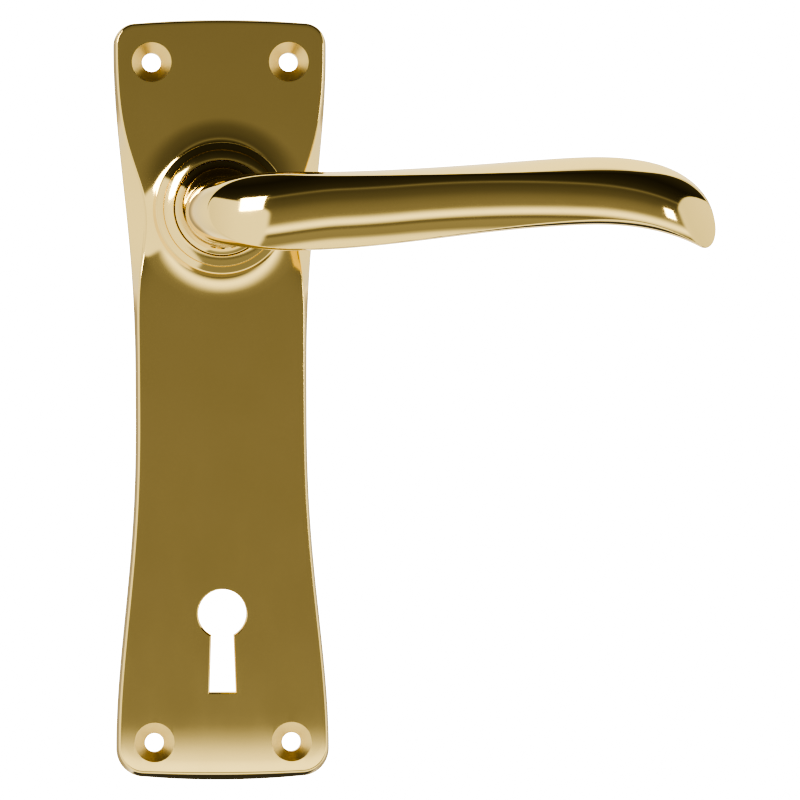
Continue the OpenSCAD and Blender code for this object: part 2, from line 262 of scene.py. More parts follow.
def finish_piece(obj, material, body, node):
    """Gives a built piece its finish and hangs it on the body of the CAD node it stands for."""
    obj.data.materials.clear()
    obj.data.materials.append(material)
    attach(obj, body)
    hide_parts(node)


# ---- Materials ----

def node_kit(name):
    """A new material with its nodes, links and shader, and the place on the object."""
    material = bpy.data.materials.new(name)
    material.use_nodes = True
    nodes = material.node_tree.nodes
    links = material.node_tree.links
    shader = nodes["Principled BSDF"]
    place = nodes.new("ShaderNodeTexCoord").outputs["Object"]
    return material, nodes, links, shader, place


def noise(nodes, links, place, scale, detail=3.0, stretch=(1, 1, 1)):
    mapping = nodes.new("ShaderNodeMapping")
    mapping.inputs["Scale"].default_value = stretch
    texture = nodes.new("ShaderNodeTexNoise")
    texture.inputs["Scale"].default_value = scale
    texture.inputs["Detail"].default_value = detail
    links.new(place, mapping.inputs["Vector"])
    links.new(mapping.outputs["Vector"], texture.inputs["Vector"])
    return texture.outputs["Fac"]


def spread(nodes, links, value, low, high):
    """A noise value carried to the range low..high."""
    ranged = nodes.new("ShaderNodeMapRange")
    ranged.inputs["From Min"].default_value = 0.3
    ranged.inputs["From Max"].default_value = 0.7
    ranged.inputs["To Min"].default_value = low
    ranged.inputs["To Max"].default_value = high
    links.new(value, ranged.inputs["Value"])
    return ranged.outputs["Result"]


def two_tone(nodes, links, value, first, second):
    """A noise value turned into a soft change between two colours."""
    ramp = nodes.new("ShaderNodeValToRGB")
    ramp.color_ramp.elements[0].position = 0.35
    ramp.color_ramp.elements[0].color = (*first, 1)
    ramp.color_ramp.elements[1].position = 0.65
    ramp.color_ramp.elements[1].color = (*second, 1)
    links.new(value, ramp.inputs["Fac"])
    return ramp.outputs["Color"]


def bump(nodes, links, value, depth, before=None):
    """A bump of the given depth in metres, laid over an earlier one."""
    node = nodes.new("ShaderNodeBump")
    node.inputs["Strength"].default_value = 1.0
    node.inputs["Distance"].default_value = depth
    links.new(value, node.inputs["Height"])
    if before is not None:
        links.new(before, node.inputs["Normal"])
    return node.outputs["Normal"]


def polished_brass(name, wave_depth, rough=(0.035, 0.075)):
    """Cast brass, buffed bright: slow waves left by the buffing, hairlines and a faint tarnish."""
    hair_depth = 2.5e-7
    material, nodes, links, shader, place = node_kit(name)
    shader.inputs["Metallic"].default_value = 1.0
    tarnish = noise(nodes, links, place, scale=70, detail=4)
    links.new(two_tone(nodes, links, tarnish, (0.93, 0.69, 0.265), (0.95, 0.705, 0.275)),
              shader.inputs["Base Color"])
    smear = noise(nodes, links, place, scale=160, detail=5, stretch=(1, 1, 0.4))
    links.new(spread(nodes, links, smear, *rough), shader.inputs["Roughness"])
    waves = noise(nodes, links, place, scale=38, detail=1)
    hairs = noise(nodes, links, place, scale=900, detail=2, stretch=(0.25, 1, 1))
    normal = bump(nodes, links, waves, wave_depth)
    normal = bump(nodes, links, hairs, hair_depth, normal)
    links.new(normal, shader.inputs["Normal"])
    return material


STAINED = 0.78


def steel(name, tone, rough, grain=(1, 1, 1)):
    """Plain steel, stained a little darker in places, its fine grain stretched as it was drawn."""
    uneven = 0.08
    scratch_depth = 4e-6
    material, nodes, links, shader, place = node_kit(name)
    shader.inputs["Metallic"].default_value = 1.0
    stain = noise(nodes, links, place, scale=120, detail=5)
    darker = tuple(STAINED * c for c in tone)
    links.new(two_tone(nodes, links, stain, darker, tone), shader.inputs["Base Color"])
    drawn = noise(nodes, links, place, scale=700, detail=3, stretch=grain)
    links.new(spread(nodes, links, drawn, rough - uneven, rough + uneven), shader.inputs["Roughness"])
    links.new(bump(nodes, links, drawn, scratch_depth), shader.inputs["Normal"])
    return material


def moulded_nylon(name):
    """Off-white nylon with the dull, faintly grained skin of a mould."""
    grain_depth = 5e-6
    material, nodes, links, shader, place = node_kit(name)
    cloud = noise(nodes, links, place, scale=200, detail=3)
    links.new(two_tone(nodes, links, cloud, (0.74, 0.72, 0.64), (0.80, 0.79, 0.72)),
              shader.inputs["Base Color"])
    shader.inputs["Subsurface Weight"].default_value = 0.15
    shader.inputs["Subsurface Scale"].default_value = 0.001
    grain = noise(nodes, links, place, scale=2500, detail=2)
    links.new(spread(nodes, links, grain, 0.38, 0.5), shader.inputs["Roughness"])
    links.new(bump(nodes, links, grain, grain_depth), shader.inputs["Normal"])
    return material


plate_brass = polished_brass("plate_brass", wave_depth=3.0e-5)
lever_brass = polished_brass("lever_brass", wave_depth=2.0e-5)
turned_brass = polished_brass("turned_brass", wave_depth=2.0e-6, rough=(0.06, 0.12))
bored_brass = polished_brass("bored_brass", wave_depth=3.0e-5, rough=(0.36, 0.48))
zinc_steel = steel("zinc_steel", tone=(0.62, 0.62, 0.60), rough=0.30)
drawn_steel = steel("drawn_steel", tone=(0.50, 0.50, 0.50), rough=0.28, grain=(1, 0.04, 1))
spring_steel = steel("spring_steel", tone=(0.26, 0.25, 0.25), rough=0.34)
black_steel = steel("black_steel", tone=(0.07, 0.07, 0.075), rough=0.36)
nylon = moulded_nylon("natural_nylon")


# ---- Backplate ----

STRAIGHT_V = PLATE_H / 2 - CROWN - FOOT_CORNER_R
EDGE_STEPS = 30
CORNER_STEPS = 14
SIDE_STEPS = 240


def side_half(v):
    """Half width of the waisted plate at v above its middle."""
    return WAIST_W / 2 + (PLATE_W - WAIST_W) / 2 * ease(np.abs(v) / STRAIGHT_V) ** WAIST_POWER


def side_draft(v):
    """How far the front edge leans in at the sides: more beside the boss."""
    return SIDE_DRAFT + BOSS_DRAFT * np.exp(-((v + MID_UP) / DRAFT_REACH) ** 2)


def outline(lean, margin):
    """The plate's outline, drawn in by lean x the local draft and then by an even margin."""
    f = np.arange(EDGE_STEPS) / EDGE_STEPS
    turn = np.linspace(np.pi / 2, 0, CORNER_STEPS, endpoint=False)
    inset = lean * SIDE_DRAFT + margin
    ends = []
    for sign, corner_r, draft in ((-1, FOOT_CORNER_R, FOOT_DRAFT), (1, HEAD_CORNER_R, HEAD_DRAFT)):
        at_corner = lean * draft * CORNER_SHARE
        r = max(corner_r - inset, MIN_CORNER_R)
        cx = PLATE_W / 2 - inset - r
        cy = PLATE_H / 2 - CROWN - at_corner - margin - r
        bow = (CROWN - lean * draft * (1 - CORNER_SHARE)) * (1 - f * f)
        edge = np.column_stack([f * cx, cy + r + bow])
        corner = circle(r, turn) + (cx, cy)
        ends.append((np.vstack([edge, corner]) * (1, sign), sign * cy))
    v = np.linspace(ends[0][1], ends[1][1], SIDE_STEPS)
    side = np.column_stack([side_half(v) - lean * side_draft(v) - margin, v])
    right = np.vstack([ends[0][0], side, ends[1][0][::-1]])
    left = (right * (-1, 1))[-2:0:-1]
    return np.vstack([right, left]) + (0, MID_UP)


def front_height(points):
    """The flat front, rolled off a little at its foot and low beside the boss, and the flare."""
    u = np.clip((FLARE_R - np.linalg.norm(points, axis=-1)) / (FLARE_R - BOSS_R), 0, 1)
    rise = FLARE_RISE * u ** 2 + FILLET_RISE * u ** FILLET_POWER
    below = np.clip((plate_low[1] + ROLL_OFF[0] - points[..., 1]) / ROLL_OFF[0], 0, 1)
    beside = np.maximum(np.abs(points[..., 0]) - SIDE_FALL["from"], 0)
    near = np.exp(-((points[..., 1] - SIDE_FALL["up"]) / SIDE_FALL["reach"]) ** 2)
    return PLATE_T + rise - ROLL_OFF[1] * below ** 2 - SIDE_FALL["rate"] * beside ** 2 * near


def rounded(a, corner, b, steps):
    """Rings that turn smoothly from ring a to ring b round a corner ring."""
    return [(1 - t) ** 2 * a + 2 * t * (1 - t) * corner + t * t * b
            for t in np.linspace(0, 1, steps)]


def backplate_form():
    base = outline(0, 0)
    edge_flat = outline(1, 0)
    edge = with_height(edge_flat, front_height(edge_flat))
    foot = with_height(base, FOOT_H)
    fall = (edge - foot) / np.linalg.norm(edge - foot, axis=1, keepdims=True)
    face_flat = outline(1, EDGE_SOFT)
    reach = np.linalg.norm(face_flat, axis=1)
    toward = face_flat / reach[:, None]

    rings = [with_height(outline(0, BACK_SOFT), 0), with_height(base, BACK_SOFT)]
    rings += rounded(with_height(base, FOOT_H - FOOT_SOFT), foot, foot + FOOT_SOFT * fall, 5)
    rings += rounded(edge - EDGE_SOFT * fall, edge,
                     with_height(face_flat, front_height(face_flat)), 14)
    # flat front, from the edge in to the foot of the flare
    foot_r = np.minimum(reach, FLARE_R)
    for t in np.linspace(0, 1, 40)[1:]:
        flat = toward * mix(reach, foot_r, t)[:, None]
        rings.append(with_height(flat, front_height(flat)))
    # up the flare
    for t in np.linspace(0, 1, 30)[1:]:
        flat = toward * mix(foot_r, BOSS_R, t)[:, None]
        rings.append(with_height(flat, front_height(flat)))
    # boss side, rounded shoulder, coned front, ring seat, bore, chamber and back
    side_h = PLATE_T + FLARE_RISE + FILLET_RISE
    side_shares = (0.02, 0.3, 0.6, 0.9)
    seat_edge = {"wide": 0.12, "dip": 0.02, "deep": 0.1}
    shoulder = (BOSS_R - BOSS_LEAN - BOSS_ROUND, BOSS_H - FRONT_SLOPE * (BOSS_R - RING_R) - BOSS_ROUND)
    for t in side_shares:
        rings.append(with_height(toward * mix(BOSS_R, BOSS_R - BOSS_LEAN, t),
                                 mix(side_h, shoulder[1], t)))
    for r, h in arc_profile(shoulder, BOSS_ROUND, 0, 82, 9):
        rings.append(with_height(toward * r, h))
    rings.append(with_height(toward * (RING_R + seat_edge["wide"]), BOSS_H - seat_edge["dip"]))
    for r, h in ((RING_R, BOSS_H - seat_edge["deep"]), (RING_R, RING_SEAT), (BORE_R, RING_SEAT),
                 (BORE_R, CHAMBER_H), (CHAMBER_R, CHAMBER_H), (CHAMBER_R, 0)):
        rings.append(with_height(toward * r, h))
    return ring_object("backplate_body", np.array(rings), wrap_rings=True)


def keyhole_outline(grow):
    """The keyhole's outline, drawn clockwise from the foot of the slot."""
    r = KEY_R + grow
    top_half = KEY_TOP_W / 2 + grow
    foot_half = KEY_FOOT_W / 2 + grow
    start = math.asin(top_half / r)
    angles = np.linspace(-np.pi / 2 + start, 1.5 * np.pi - start, 64)
    head = circle(r, angles)
    foot = np.array([[-foot_half, -KEY_LEG - grow], [foot_half, -KEY_LEG - grow]])
    return np.vstack([head, foot]) + (0, -KEY_DROP)


def screw_places():
    return [(sx * SCREW_SPAN[0] / 2, SCREW_MID + sy * SCREW_SPAN[1] / 2)
            for sx in (-1, 1) for sy in (-1, 1)]


def hollow_cutter():
    """The space behind the front wall, less the pads round the holes and the boss."""
    depth = PLATE_T - WALL
    low, high = -2 * OVER, depth + OVER
    hollow = prism("hollow", [(outline(0, WALL), -OVER), (outline(HOLLOW_LEAN, WALL), depth)])
    for place in screw_places():
        cut(hollow, column("pillar", place, low, high, PILLAR_R))
    cut(hollow, column("pad", (0, 0), low, high, PAD_R, 128))
    cut(hollow, prism("key_pad", [(keyhole_outline(WALL), h) for h in (low, high)]))
    return hollow


def screw_cutter(place):
    """A screw hole and its countersink; the lower holes follow the rolled-off foot."""
    face = PLATE_T - (SINK_LOWER if place[1] < MID_UP else 0)
    wider = 0.8
    angles = np.linspace(0, 2 * np.pi, 96, endpoint=False)
    profile = [(SCREW_HOLE_R, -OVER),
               (SCREW_HOLE_R, face - SINK_SLOPE * (SCREW_SINK_R - SCREW_HOLE_R)),
               (SCREW_SINK_R + wider, face + SINK_SLOPE * wider)]
    return prism("screw_cutter", [(circle(r, angles) + place, h) for r, h in profile])


def key_cutter():
    """The keyhole, with its edge rounded over, a little more towards the left and the foot."""
    width, depth = KEY_EDGE["width"], KEY_EDGE["depth"]
    skew = np.array(KEY_EDGE["skew"])
    below = 0.05
    beyond = (0.45, 0.4)
    steps = [(keyhole_outline(0), -OVER), (keyhole_outline(0), PLATE_T - depth - below)]
    for a in np.linspace(0, math.radians(KEY_EDGE["turn"]), 6)[1:]:
        share = 1 - math.cos(a)
        steps.append((keyhole_outline(width * share) + skew * share,
                      PLATE_T - depth * (1 - math.sin(a))))
    steps.append((keyhole_outline(beyond[0]) + skew, PLATE_T + beyond[1]))
    return prism("key_cutter", steps)


def make_backplate():
    obj = backplate_form()
    cut(obj, hollow_cutter())
    for place in screw_places():
        cut(obj, screw_cutter(place))
    cut(obj, key_cutter())
    smooth(obj, degrees=11)
    finish_piece(obj, plate_brass, "plate", "backplate")
    obj.data.materials.append(bored_brass)
    for face in obj.data.polygons:
        x, y, z = face.center / MM
        in_hole = min(math.hypot(x - a, z - b) for a, b in screw_places()) < SCREW_SINK_R
        if in_hole and -SINK_FACING[1] < face.normal.y < -SINK_FACING[0]:
            face.material_index = 1


# ---- Ring, bush and washers ----

def arc_profile(centre, r, start, end, steps=7):
    """Part of a circle in a (radius, out) profile, angles in degrees."""
    return [(centre[0] + r * math.cos(math.radians(a)), centre[1] + r * math.sin(math.radians(a)))
            for a in np.linspace(start, end, steps)]


def make_boss_ring():
    top = ring_high[2]
    edge = 0.12
    profile = [(BORE_R, RING_SEAT), (RING_R, RING_SEAT)]
    profile += arc_profile((RING_R - edge, BOSS_H - edge), edge, 0, 80, 5)
    profile += arc_profile((BORE_R + edge, top - edge), edge, 80, 180)
    obj = revolve("boss_ring_body", profile)
    smooth(obj, 50)
    finish_piece(obj, turned_brass, "plate", "boss_ring")


# ---- Lever ----

BEND_X = 12.0
BEND_OUT = LEVER_FRONT - 15.3
BEND_INNER = 5.2
BEND_POWER = 2.4
NECK_LEFT = 7.4
NECK_TAPER = 0.09
NECK_SHIFT = 0.35
NECK_EASE = 0.8
NECK_DIP = 0.8
NECK_FOOT = ((0.3, -0.05), (0.06, 0.05))
BULB_HALF = 6.5
GRIP_MID = (-1.5, 2.35)
GRIP_RISES = (14.0, LEVER_REACH - 18)
GRIP_HALF = (7.6, 6.55)
GRIP_SLIMS = (10.0, 60.0)
CURL_FROM = LEVER_REACH - 28.7
CURL_RATE = 2.6e-4
END_LENGTH = 18.2
END_POWER = (3.7, 0.36)
FOOT_LENGTH = 2.9
FOOT_POWER = (2.0, 0.5)
FOOT_RISE = 5.0
TIP_HALF = 0.2
TIP_THIN = 0.25
CREST = (5.5, 5.2)
GRIP_BACK = (LEVER_FRONT - CREST[0] - BEND_OUT - BEND_INNER, 3.9)
BODY_FRONT = (9.6, 7.4)
TOP_POWER = (2.0, 1.25)
LOW_POWER = 2.9
FACE_CURVE = (46.0, 30.0)
FACE_FALL = 2.6e-4
FACE_DROP = (-0.4, 3.1)
FACE_DROPS = (LEVER_REACH - 60, LEVER_REACH)
BULB_DIP = (2.1, 22.0)
BULB_FALL = (13.0, 50.0)
TIP_FALL = (LEVER_REACH - 16, 40.0)
FALL_LIMIT = 0.95
CREASE_SOFT = 0.22
SIDES = 224
NECK_STEPS = 40
BEND_STEPS = 110
GRIP_STEPS = 230
END_STEPS = 60


def grip_mid(x):
    """Height of the grip's middle line: it climbs gently and then curls down to the end."""
    curl = CURL_RATE * np.maximum(x - CURL_FROM, 0) ** 3
    return mix(GRIP_MID[0], GRIP_MID[1], ease_over(x, GRIP_RISES)) - curl


def grip_half(x):
    return mix(GRIP_HALF[0], GRIP_HALF[1], ease_over(x, GRIP_SLIMS))


def turned(x, length, power):
    """0 along the grip, rising steeply to 1 over the last length before its end."""
    t = np.clip((x - LEVER_REACH + length) / length, 0, 1)
    return 1 - (1 - t ** power[0]) ** power[1]


def grip_edges(x):
    """Heights of the foot and top edges: the top turns down to meet the end's short foot."""
    mid, half = grip_mid(x), grip_half(x)
    top = mid + half - (2 * half - FOOT_RISE) * turned(x, END_LENGTH, END_POWER)
    foot = mid - half + FOOT_RISE * turned(x, FOOT_LENGTH, FOOT_POWER)
    return foot, top


def face_out(x, up):
    """The long domed face that cuts off the lever's front, rounded away at both its ends."""
    drop = mix(FACE_DROP[0], FACE_DROP[1], ease_over(x, FACE_DROPS))
    ridge = grip_mid(x) - drop - mix(BULB_DIP[0], 0, ease(x / BULB_DIP[1]))
    off = np.abs(up - ridge)
    curve = mix(FACE_CURVE[0], FACE_CURVE[1], ease(x / LEVER_REACH))
    at_bulb = np.clip(BULB_FALL[0] - x, 0, BULB_FALL[1] * FALL_LIMIT)
    at_tip = np.clip(x - TIP_FALL[0], 0, TIP_FALL[1] * FALL_LIMIT)
    return (LEVER_FRONT - off ** 2 / (2 * curve) - FACE_FALL * off ** 4
            - BULB_FALL[1] + np.sqrt(BULB_FALL[1] ** 2 - at_bulb ** 2)
            - TIP_FALL[1] + np.sqrt(TIP_FALL[1] ** 2 - at_tip ** 2))


def soft_min(a, b, soft):
    h = np.clip(0.5 + 0.5 * (b - a) / soft, 0, 1)
    return mix(b, a, h) - soft * h * (1 - h)


def oval(centre, front, half, back_depth, front_depth, top_power, low_power):
    """A cross-section of the body: leaner above than below, shallower behind than in front."""
    a = -np.linspace(0, 2 * np.pi, SIDES, endpoint=False)
    c, s = np.cos(a), np.sin(a)
    height = half * s
    power = np.where(c > 0, np.where(s < 0, low_power, top_power), 2.0)
    across = (1 - np.abs(s) ** power) ** (1 / power)
    depth = np.where(c > 0, front_depth, -back_depth) * across
    return centre + np.outer(depth, front) + np.outer(height, (0.0, 1.0, 0.0))


def neck_rings():
    """From the collar out to the level of the bend."""
    left = np.array([-1.0, 0, 0])
    rings = []
    for f in np.linspace(0, 1, NECK_STEPS)[:-1]:
        t = ease(f) ** NECK_EASE
        centre = np.array([mix(0, NECK_SHIFT, t), mix(0, GRIP_MID[0] * NECK_DIP, t),
                           mix(COLLAR_H[1], BEND_OUT, f)])
        rings.append(oval(centre, left, mix(NECK_R, BULB_HALF, t),
                          mix(NECK_R, BEND_X - BEND_INNER - NECK_SHIFT, t),
                          mix(NECK_R, NECK_LEFT + NECK_SHIFT, t), 2.0, 2.0))
    return rings


def bend_rings():
    """Planes that turn about the inner corner from across the neck to across the grip."""
    rings = []
    for b in np.linspace(0, np.pi / 2, BEND_STEPS)[:-1]:
        t = ease(b / (np.pi / 2))
        d = np.array([-math.cos(b), 0, math.sin(b)])
        mid = mix(BEND_X - NECK_SHIFT, LEVER_FRONT - CREST[0] - BEND_OUT, t)
        wall = (math.cos(b) + NECK_TAPER * math.sin(b)) / (BEND_X + NECK_LEFT)
        top = math.sin(b) / (mid + BODY_FRONT[0])
        reach = (wall ** BEND_POWER + top ** BEND_POWER) ** (-1 / BEND_POWER)
        centre = np.array([BEND_X, mix(GRIP_MID[0] * NECK_DIP, GRIP_MID[0], t), BEND_OUT]) + d * mid
        half = mix(BULB_HALF, grip_half(BEND_X), t)
        rings.append(oval(centre, d, half, mid - BEND_INNER, reach - mid, TOP_POWER[0],
                          mix(2.0, LOW_POWER, t)))
    return rings


def grip_rings():
    """Along the lever and round its end."""
    out = np.array([0, 0, 1.0])
    straight = np.linspace(BEND_X, LEVER_REACH - END_LENGTH, GRIP_STEPS)
    turn = np.linspace(0, np.pi / 2, END_STEPS)[1:]
    last = LEVER_REACH - END_LENGTH + END_LENGTH * np.sin(turn)
    rings = []
    for x in np.append(straight, last):
        foot, top = grip_edges(x)
        half = max((top - foot) / 2, TIP_HALF)
        along = x / LEVER_REACH
        slimmed = ease_over(x, GRIP_RISES)
        thin = mix(TIP_THIN, 1, half / grip_half(x))
        centre = np.array([x, (top + foot) / 2, LEVER_FRONT - mix(CREST[0], CREST[1], along)])
        rings.append(oval(centre, out, half, mix(GRIP_BACK[0], GRIP_BACK[1], along) * thin,
                          mix(BODY_FRONT[0], BODY_FRONT[1], slimmed) * thin,
                          mix(TOP_POWER[0], TOP_POWER[1], slimmed), LOW_POWER))
    return rings


def lever_rings():
    """The whole body of the lever, with the long face cut across its front."""
    rings = np.array(neck_rings() + bend_rings() + grip_rings())
    rings[..., 2] = soft_min(rings[..., 2], face_out(rings[..., 0], rings[..., 1]), CREASE_SOFT)
    return rings


def shank_rings():
    """Shank, circlip groove and collar below the neck, from the foot up."""
    angles = np.pi + np.linspace(0, 2 * np.pi, SIDES, endpoint=False)
    low, high, groove_r = GROOVE
    lead_in = (0.3, 0.2)
    profile = [(SHANK_R - lead_in[0], SHANK_FOOT), (SHANK_R, SHANK_FOOT + lead_in[1]),
               (SHANK_R, low), (groove_r, low), (groove_r, high), (SHANK_R, high),
               (SHANK_R, COLLAR_H[0]), (COLLAR_R, COLLAR_H[0])]
    edge_h = COLLAR_H[1] - FRONT_SLOPE * (COLLAR_R - NECK_R)
    profile += arc_profile((COLLAR_R - COLLAR_ROUND, edge_h - COLLAR_ROUND), COLLAR_ROUND, 0, 80)
    profile += [(NECK_R + wide, COLLAR_H[1] + rise) for wide, rise in NECK_FOOT]
    return np.array([with_height(circle(r, angles), h) for r, h in profile])


def make_lever():
    neck = lever_rings()
    shank = shank_rings()
    obj = ring_object("lever_body", np.concatenate([shank, neck[1:]]))
    half_bar = SOCKET_W / 2
    clear = SHANK_R + OVER
    cutters = [("socket", -half_bar, half_bar, half_bar, SOCKET_TOP),
               ("flat", FLAT_X, clear, clear, FLAT_TOP), ("flat", -clear, -FLAT_X, clear, FLAT_TOP)]
    for name, left, right, half, top in cutters:
        corners = np.array([(left, -half), (right, -half), (right, half), (left, half)])
        cut(obj, prism(name, [(corners, -OVER), (corners, top)]))
    cut(obj, grub_cutter())
    smooth(obj)
    finish_piece(obj, lever_brass, "handle", "lever")


def grub_cutter():
    """A round hole up into the socket from under the neck."""
    ring = circle(GRUB_R, np.linspace(0, 2 * np.pi, 48, endpoint=False))
    x, out = ring[:, 0], ring[:, 1] + GRUB_OUT
    below_neck = -12.0
    in_socket = -SOCKET_W / 2 + 0.2
    rings = [np.column_stack([x, np.full(len(x), up), out]) for up in (below_neck, in_socket)]
    return ring_object("grub_hole", np.array(rings))


# ---- Return spring ----

WIRE_R = 0.6
COIL_R = 8.8
COIL_FRONT = 5.85
COIL_BACK = 3.9
LEG_R = 12.2
LEG_GAP = 0.1
LUG_W = 3.2
REST_ANGLE = 180.0
ANCHOR_ANGLE = 300.0


def make_spring():
    """A coil of one and a bit turns with a leg out to the anchor pin and one to the driver lug."""
    start = math.radians(ANCHOR_ANGLE) + math.asin((PIN_R + WIRE_R + LEG_GAP) / PIN_RING_R)
    beside_lug = math.asin((LUG_W / 2 + WIRE_R + LEG_GAP) / PIN_RING_R)
    end = math.radians(REST_ANGLE) - beside_lug - 2 * np.pi
    bend = 0.9
    turn = bend / COIL_R
    centre = []
    for r in np.linspace(LEG_R, COIL_R + bend, 8):
        centre.append((r * math.cos(start), r * math.sin(start), COIL_FRONT))
    for a in np.linspace(start - turn, end + turn, 150):
        h = mix(COIL_FRONT, COIL_BACK, (start - a) / (start - end))
        centre.append((COIL_R * math.cos(a), COIL_R * math.sin(a), h))
    for r in np.linspace(COIL_R + bend, LEG_R, 8):
        centre.append((r * math.cos(end), r * math.sin(end), COIL_BACK))
    centre = np.array(centre)
    for _ in range(2):
        centre[1:-1] = (centre[:-2] + 2 * centre[1:-1] + centre[2:]) / 4
    tangent = np.gradient(centre, axis=0)
    tangent /= np.linalg.norm(tangent, axis=1, keepdims=True)
    out = np.array([0, 0, 1.0])
    side = np.cross(tangent, out)
    side /= np.linalg.norm(side, axis=1, keepdims=True)
    over = np.cross(side, tangent)
    angles = np.linspace(0, 2 * np.pi, 18, endpoint=False)
    rings = (centre[:, None] + WIRE_R * (np.cos(angles)[None, :, None] * side[:, None]
                                         + np.sin(angles)[None, :, None] * over[:, None]))
    obj = ring_object("return_spring_wire", rings)
    smooth(obj, 50)
    obj.data.materials.append(spring_steel)
    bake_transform(obj)
    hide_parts("return_spring")


# ---- CAD pieces that keep their own shape ----

SHARP_ANGLE = 40


def dress(node, material, soften):
    """A carried-over CAD piece: its finish, and a small bevel on its sharp edges."""
    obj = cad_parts[node]
    obj.data.materials.clear()
    obj.data.materials.append(material)
    for face in obj.data.polygons:
        face.use_smooth = True
    edge = obj.modifiers.new("soft_edges", "BEVEL")
    edge.width = soften * MM
    edge.segments = 2
    edge.limit_method = "ANGLE"
    edge.angle_limit = math.radians(SHARP_ANGLE)
    edge.harden_normals = True


# ---- Scene ----

def make_floor():
    """A pale table top well below the handle; it is lit and seen, but not mirrored in the brass."""
    half = 1.3
    drop = -0.30
    corners = [(-half, -half, drop), (half, -half, drop), (half, half, drop), (-half, half, drop)]
    floor = mesh_object("floor", corners, [(0, 1, 2, 3)])
    material, nodes, links, shader, place = node_kit("floor_paint")
    tint = noise(nodes, links, place, scale=6, detail=2)
    links.new(two_tone(nodes, links, tint, (0.90, 0.90, 0.90), (0.93, 0.93, 0.93)),
              shader.inputs["Base Color"])
    shader.inputs["Roughness"].default_value = 0.6
    floor.data.materials.append(material)
    floor.visible_glossy = False


def math_node(nodes, links, operation, *values):
    node = nodes.new("ShaderNodeMath")
    node.operation = operation
    for i, value in enumerate(values):
        if isinstance(value, (int, float)):
            node.inputs[i].default_value = value
        else:
            links.new(value, node.inputs[i])
    return node.outputs[0]


# The studio as the brass sees it. Angles are in degrees; up_angle runs from straight ahead of
# the plate (0) over the top (90) to behind it (180), and below it from 0 to -180.
STUDIO = [
    (-180, 1.0), (-159, 1.0), (-155, 0.07), (-136, 0.07), (-131, 0.9), (-47, 1.0),
    (-41, 0.85), (-36, 0.45), (-31, 0.28), (-19, 0.3), (-16, 0.17), (-14, 0.2), (-11.5, 0.75),
    (-9, 1.3), (-6.5, 1.15), (-4.5, 0.6), (-3.3, 0.31), (-2.4, 0.245), (0, 0.24), (3, 0.205),
    (6.4, 0.14), (13.5, 0.10), (15.5, 0.22), (17.5, 0.07), (29, 0.045), (46, 0.03), (95, 0.07),
    (104, 1.1), (180, 1.1)]
# Each side glow starts at a side angle; above an up angle it draws back by a slope.
LEFT_GLOW = {"start": 8.0, "soft": 3.0, "under": 0.5, "slope": 0.9}
RIGHT_GLOW = {"start": 30.0, "soft": 3.0, "under": 4.0, "slope": 2.4}
SIDE_TONES = [(0, 1.0), (25, 0.95), (36, 0.8), (60, 0.9), (90, 0.95)]
DAYLIGHT = (1.0, 1.03, 1.03)
# The wall behind the handle is in half shade to either side of it.
BACK_SHADE = [(0, 1.0), (6, 1.0), (13, 0.4), (22, 0.4), (34, 1.0), (90, 1.0)]
BACK_FROM = (150.0, 165.0)
BACK_WITHIN = (40.0, 24.0)
BACK_TINT = (1.0, 0.9, 0.66)
HIDDEN_ABOVE = 100.0


def step_node(nodes, links, value, low, high):
    """0 below low, 1 above high, smooth between."""
    node = nodes.new("ShaderNodeMapRange")
    node.interpolation_type = "SMOOTHSTEP"
    node.inputs["From Min"].default_value = low
    node.inputs["From Max"].default_value = high
    links.new(value, node.inputs["Value"])
    return node.outputs["Result"]


def grey(level):
    return (level, level, level, 1)


def mix_colours(nodes, links, factor, first, second):
    node = nodes.new("ShaderNodeMix")
    node.data_type = "RGBA"
    links.new(factor, node.inputs["Factor"])
    for name, colour in (("A", first), ("B", second)):
        if isinstance(colour, tuple):
            node.inputs[name].default_value = colour
        else:
            links.new(colour, node.inputs[name])
    return node.outputs["Result"]


def tone_ramp(nodes, links, angle, tones):
    """A brightness read off a list of (degrees, brightness) by an angle in radians."""
    first, last = tones[0][0], tones[-1][0]
    share = nodes.new("ShaderNodeMapRange")
    share.inputs["From Min"].default_value = math.radians(first)
    share.inputs["From Max"].default_value = math.radians(last)
    links.new(angle, share.inputs["Value"])
    ramp = nodes.new("ShaderNodeValToRGB")
    links.new(share.outputs["Result"], ramp.inputs["Fac"])
    stops = ramp.color_ramp.elements
    brightest = max(level for _, level in tones)
    for _ in tones[2:]:
        stops.new(0.5)
    for stop, (degrees, level) in zip(stops, tones):
        stop.position = (degrees - first) / (last - first)
        stop.color = grey(level / brightest)
    return math_node(nodes, links, "MULTIPLY", ramp.outputs["Color"], brightest)


def side_glow(nodes, links, side, up, start, soft, under, slope):
    """1 where one side's glow shows: past its start, and below a line that climbs outwards."""
    past = step_node(nodes, links, side, math.radians(start), math.radians(start + soft))
    climb = math_node(nodes, links, "MULTIPLY", side, slope)
    above = math_node(nodes, links, "SUBTRACT", up, climb)
    line = under - slope * start
    low = step_node(nodes, links, above, math.radians(line + soft), math.radians(line))
    behind = step_node(nodes, links, up, math.radians(HIDDEN_ABOVE),
                       math.radians(HIDDEN_ABOVE + soft))
    shown = math_node(nodes, links, "MAXIMUM", low, behind)
    return math_node(nodes, links, "MULTIPLY", past, shown)


